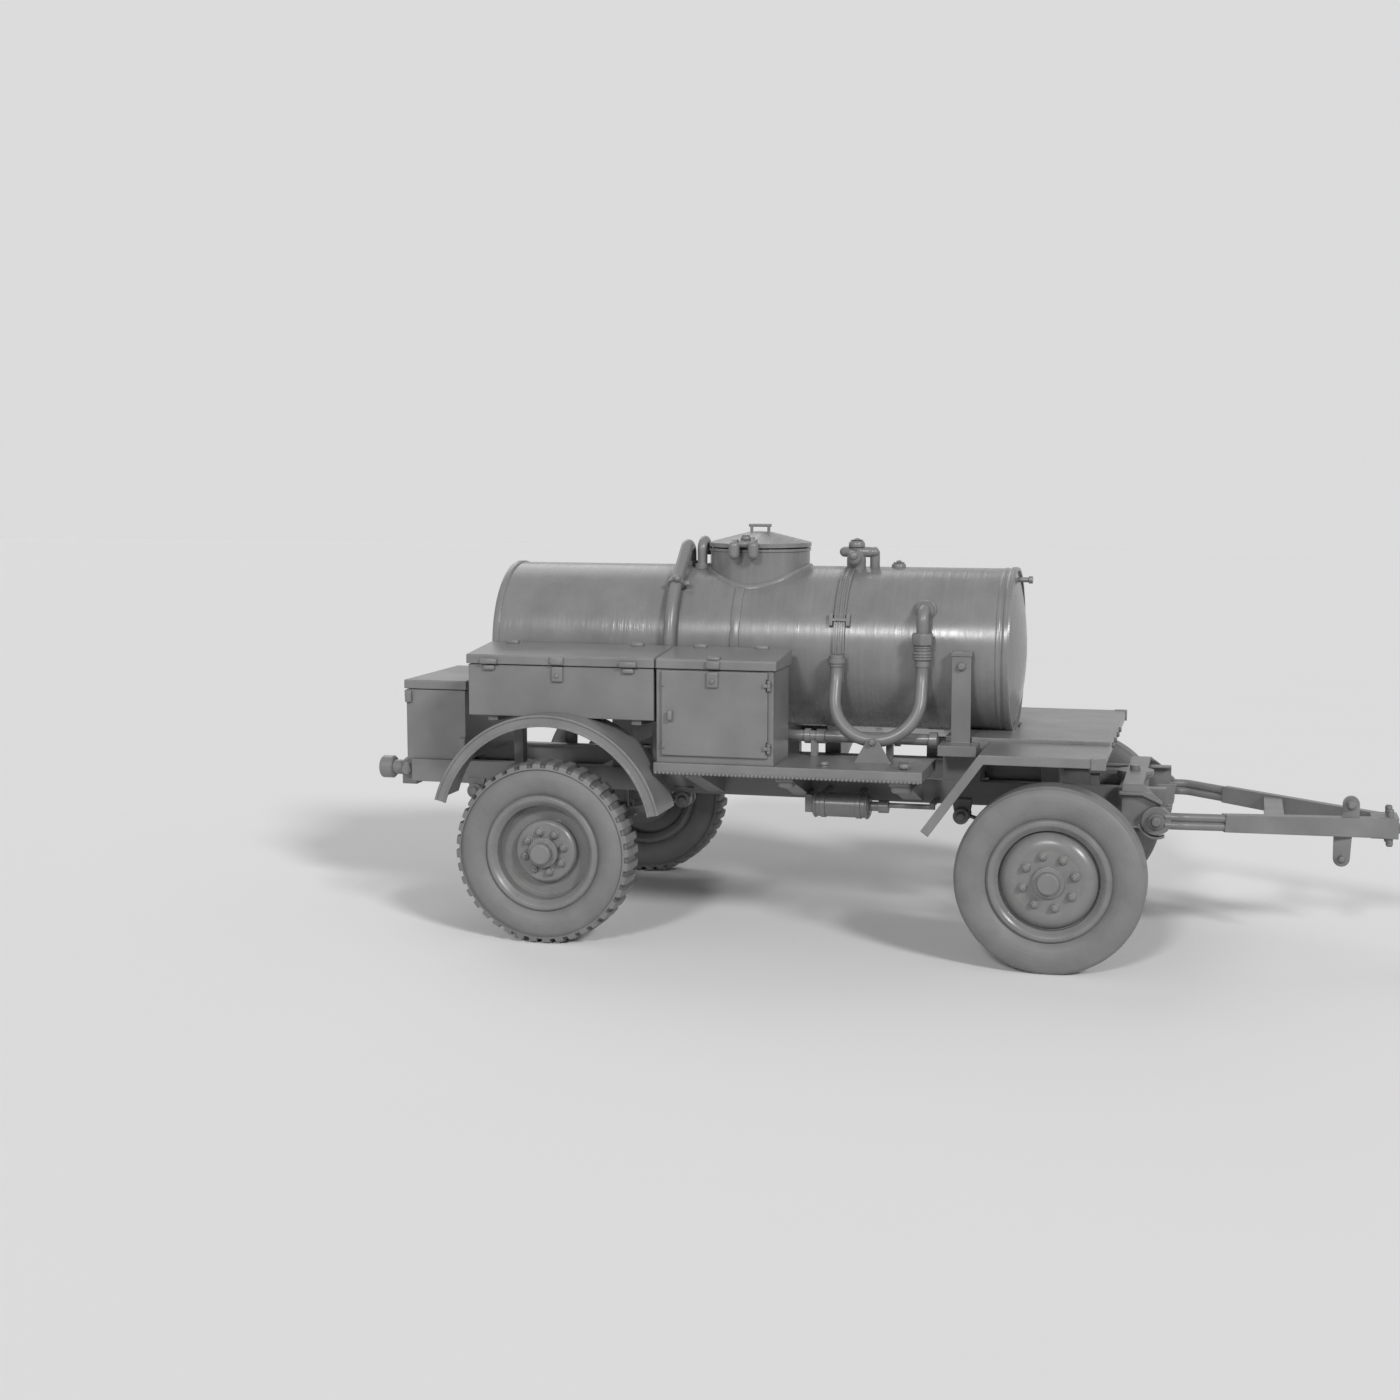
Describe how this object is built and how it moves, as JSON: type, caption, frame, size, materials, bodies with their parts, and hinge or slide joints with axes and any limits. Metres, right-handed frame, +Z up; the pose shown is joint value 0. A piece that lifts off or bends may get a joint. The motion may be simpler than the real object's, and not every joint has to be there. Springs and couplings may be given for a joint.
{
  "type": "fuel bowser trailer",
  "caption": "Towed fuel bowser trailer: horizontal tank on a sprung frame with side lockers, hose, mudguards, steered front wheels and an A-shaped drawbar.",
  "frame": {"origin": "centre of the bounding box on the ground", "axes": "+X forward to the towing eye, +Y left, +Z up"},
  "size_m": [5.548, 2.166, 2.08],
  "materials": {
    "tank_paint": "satin grey paint",
    "box_paint": "satin grey paint",
    "panel_paint": "satin grey paint",
    "fitting_paint": "satin grey paint",
    "chassis_paint": "satin grey paint",
    "wheel_paint": "satin grey paint",
    "hose_rubber": "smooth grey rubber hose",
    "tyre_rubber": "dull grey rubber",
    "bare_steel": "dull grey steel"
  },
  "bodies": {
    "chassis": {"brake_reservoir": "fitting_paint", "cabinet_left": "box_paint", "cabinet_right": "box_paint", "chassis_frame": "chassis_paint", "delivery_hose": "hose_rubber", "front_axle": "chassis_paint", "front_deck": "panel_paint", "front_springs": "bare_steel", "front_wings": "panel_paint", "hose_bracket": "fitting_paint", "hose_strap": "fitting_paint", "locker_left": "box_paint", "locker_right": "box_paint", "manhole_collar": "tank_paint", "manifold_pipe": "fitting_paint", "outriggers": "chassis_paint", "rear_axle": "chassis_paint", "rear_locker": "box_paint", "rear_mudguards": "panel_paint", "rear_outlet": "fitting_paint", "rear_springs": "bare_steel", "running_boards": "panel_paint", "tank": "tank_paint", "tank_supports": "chassis_paint", "top_valve": "fitting_paint", "vent_pipes": "fitting_paint"},
    "manhole_lid": {"manhole_lid": "tank_paint"},
    "locker_lid_right": {"locker_lid_right": "box_paint"},
    "locker_lid_left": {"locker_lid_left": "box_paint"},
    "cabinet_lid_right": {"cabinet_lid_right": "box_paint"},
    "cabinet_lid_left": {"cabinet_lid_left": "box_paint"},
    "cabinet_door_right": {"cabinet_door_right": "box_paint"},
    "cabinet_door_left": {"cabinet_door_left": "box_paint"},
    "rear_locker_lid": {"rear_locker_lid": "box_paint"},
    "carrier": {"drawbar_carrier": "chassis_paint"},
    "drawbar": {"drawbar": "chassis_paint", "towing_eye": "bare_steel"},
    "knuckle_right": {"knuckle_right": "chassis_paint"},
    "knuckle_left": {"knuckle_left": "chassis_paint"},
    "track_rod": {"track_rod": "bare_steel"},
    "drag_link": {"drag_link": "bare_steel"},
    "wheel_rear_right": {"wheel_rear_right": "wheel_paint", "tyre_rear_right": "tyre_rubber"},
    "wheel_rear_left": {"wheel_rear_left": "wheel_paint", "tyre_rear_left": "tyre_rubber"},
    "wheel_front_right": {"wheel_front_right": "wheel_paint", "tyre_front_right": "tyre_rubber"},
    "wheel_front_left": {"wheel_front_left": "wheel_paint", "tyre_front_left": "tyre_rubber"}
  },
  "joints": [
    {"name": "drawbar_swing", "type": "hinge", "parent": "chassis", "child": "carrier", "pos_m": [1.249, 0, 0.835], "axis": [0, 0, 1], "range_deg": [-25, 25]},
    {"name": "knuckle_right_turn", "type": "hinge", "parent": "chassis", "child": "knuckle_right", "pos_m": [0.909, -0.75, 0.45], "axis": [0, 0, 1], "range_deg": [-25, 25]},
    {"name": "knuckle_left_turn", "type": "hinge", "parent": "chassis", "child": "knuckle_left", "pos_m": [0.909, 0.75, 0.45], "axis": [0, 0, 1], "range_deg": [-25, 25]},
    {"name": "track_rod_turn", "type": "hinge", "parent": "knuckle_left", "child": "track_rod", "pos_m": [0.709, 0.75, 0.416], "axis": [0, 0, 1], "range_deg": [-25, 25]},
    {"name": "drag_link_turn", "type": "hinge", "parent": "carrier", "child": "drag_link", "pos_m": [1.049, 0, 0.362], "axis": [0, 0, 1], "range_deg": [-25, 25]},
    {"name": "drawbar_pitch", "type": "hinge", "parent": "carrier", "child": "drawbar", "pos_m": [1.379, 0, 0.68], "axis": [0, -1, 0], "range_deg": [-20, 30]},
    {"name": "manhole_lid_hinge", "type": "hinge", "parent": "chassis", "child": "manhole_lid", "pos_m": [-0.7345, -0.292, 1.985], "axis": [1, 0, 0], "range_deg": [0, 110]},
    {"name": "locker_lid_right_hinge", "type": "hinge", "parent": "chassis", "child": "locker_lid_right", "pos_m": [-1.549, -0.502, 1.466], "axis": [-1, 0, 0], "range_deg": [0, 90]},
    {"name": "locker_lid_left_hinge", "type": "hinge", "parent": "chassis", "child": "locker_lid_left", "pos_m": [-1.549, 0.502, 1.466], "axis": [1, 0, 0], "range_deg": [0, 90]},
    {"name": "cabinet_lid_right_hinge", "type": "hinge", "parent": "chassis", "child": "cabinet_lid_right", "pos_m": [-0.741, -0.502, 1.466], "axis": [-1, 0, 0], "range_deg": [0, 90]},
    {"name": "cabinet_lid_left_hinge", "type": "hinge", "parent": "chassis", "child": "cabinet_lid_left", "pos_m": [-0.741, 0.502, 1.466], "axis": [1, 0, 0], "range_deg": [0, 90]},
    {"name": "cabinet_door_right_hinge", "type": "hinge", "parent": "chassis", "child": "cabinet_door_right", "pos_m": [-0.47, -0.884, 1.165], "axis": [0, 0, 1], "range_deg": [0, 110]},
    {"name": "cabinet_door_left_hinge", "type": "hinge", "parent": "chassis", "child": "cabinet_door_left", "pos_m": [-0.47, 0.884, 1.165], "axis": [0, 0, -1], "range_deg": [0, 110]},
    {"name": "rear_locker_lid_hinge", "type": "hinge", "parent": "chassis", "child": "rear_locker_lid", "pos_m": [-2.228, 0, 1.233], "axis": [0, 1, 0], "range_deg": [0, 90]},
    {"name": "wheel_rear_right_spin", "type": "hinge", "parent": "chassis", "child": "wheel_rear_right", "pos_m": [-1.601, -0.933, 0.46], "axis": [0, 1, 0], "continuous": true},
    {"name": "wheel_front_right_spin", "type": "hinge", "parent": "knuckle_right", "child": "wheel_front_right", "pos_m": [0.909, -0.933, 0.45], "axis": [0, 1, 0], "continuous": true},
    {"name": "wheel_rear_left_spin", "type": "hinge", "parent": "chassis", "child": "wheel_rear_left", "pos_m": [-1.601, 0.933, 0.46], "axis": [0, 1, 0], "continuous": true},
    {"name": "wheel_front_left_spin", "type": "hinge", "parent": "knuckle_left", "child": "wheel_front_left", "pos_m": [0.909, 0.933, 0.45], "axis": [0, 1, 0], "continuous": true}
  ],
  "couplings": [
    {"joint": "knuckle_right_turn", "follows": "drawbar_swing", "ratio": 1},
    {"joint": "knuckle_left_turn", "follows": "drawbar_swing", "ratio": 1},
    {"joint": "track_rod_turn", "follows": "drawbar_swing", "ratio": -1},
    {"joint": "drag_link_turn", "follows": "drawbar_swing", "ratio": -1}
  ]
}
